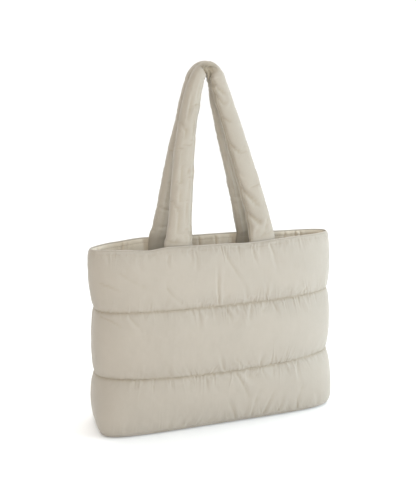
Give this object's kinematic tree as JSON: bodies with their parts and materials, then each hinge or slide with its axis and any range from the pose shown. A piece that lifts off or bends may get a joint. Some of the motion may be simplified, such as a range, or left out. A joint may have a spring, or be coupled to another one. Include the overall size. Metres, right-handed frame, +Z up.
{
  "type": "puffer tote bag",
  "caption": "Soft quilted tote bag in horizontal padded rows, with a boxed base, an open top and padded carrying straps.",
  "frame": {"origin": "the point under the bend of the carrying straps, midway between the two, where a hook, a peg or a hand carries the bag", "axes": "+Z up along the hanging bag, +X along its width to the right of someone facing its front, -Y out of its front"},
  "size_m": [0.4154, 0.1354, 0.5767],
  "materials": {
    "shell_cloth": "matt warm beige woven polyester over soft padding, finely crinkled, with self-coloured stitching",
    "strap_cloth": "the same matt beige cloth round a soft padded tube, creased along its length and at its bend"
  },
  "bodies": {
    "root": {"front_panel": "shell_cloth", "back_panel": "shell_cloth", "base_panel": "shell_cloth", "front_strap": "strap_cloth", "back_strap": "strap_cloth"}
  },
  "joints": []
}
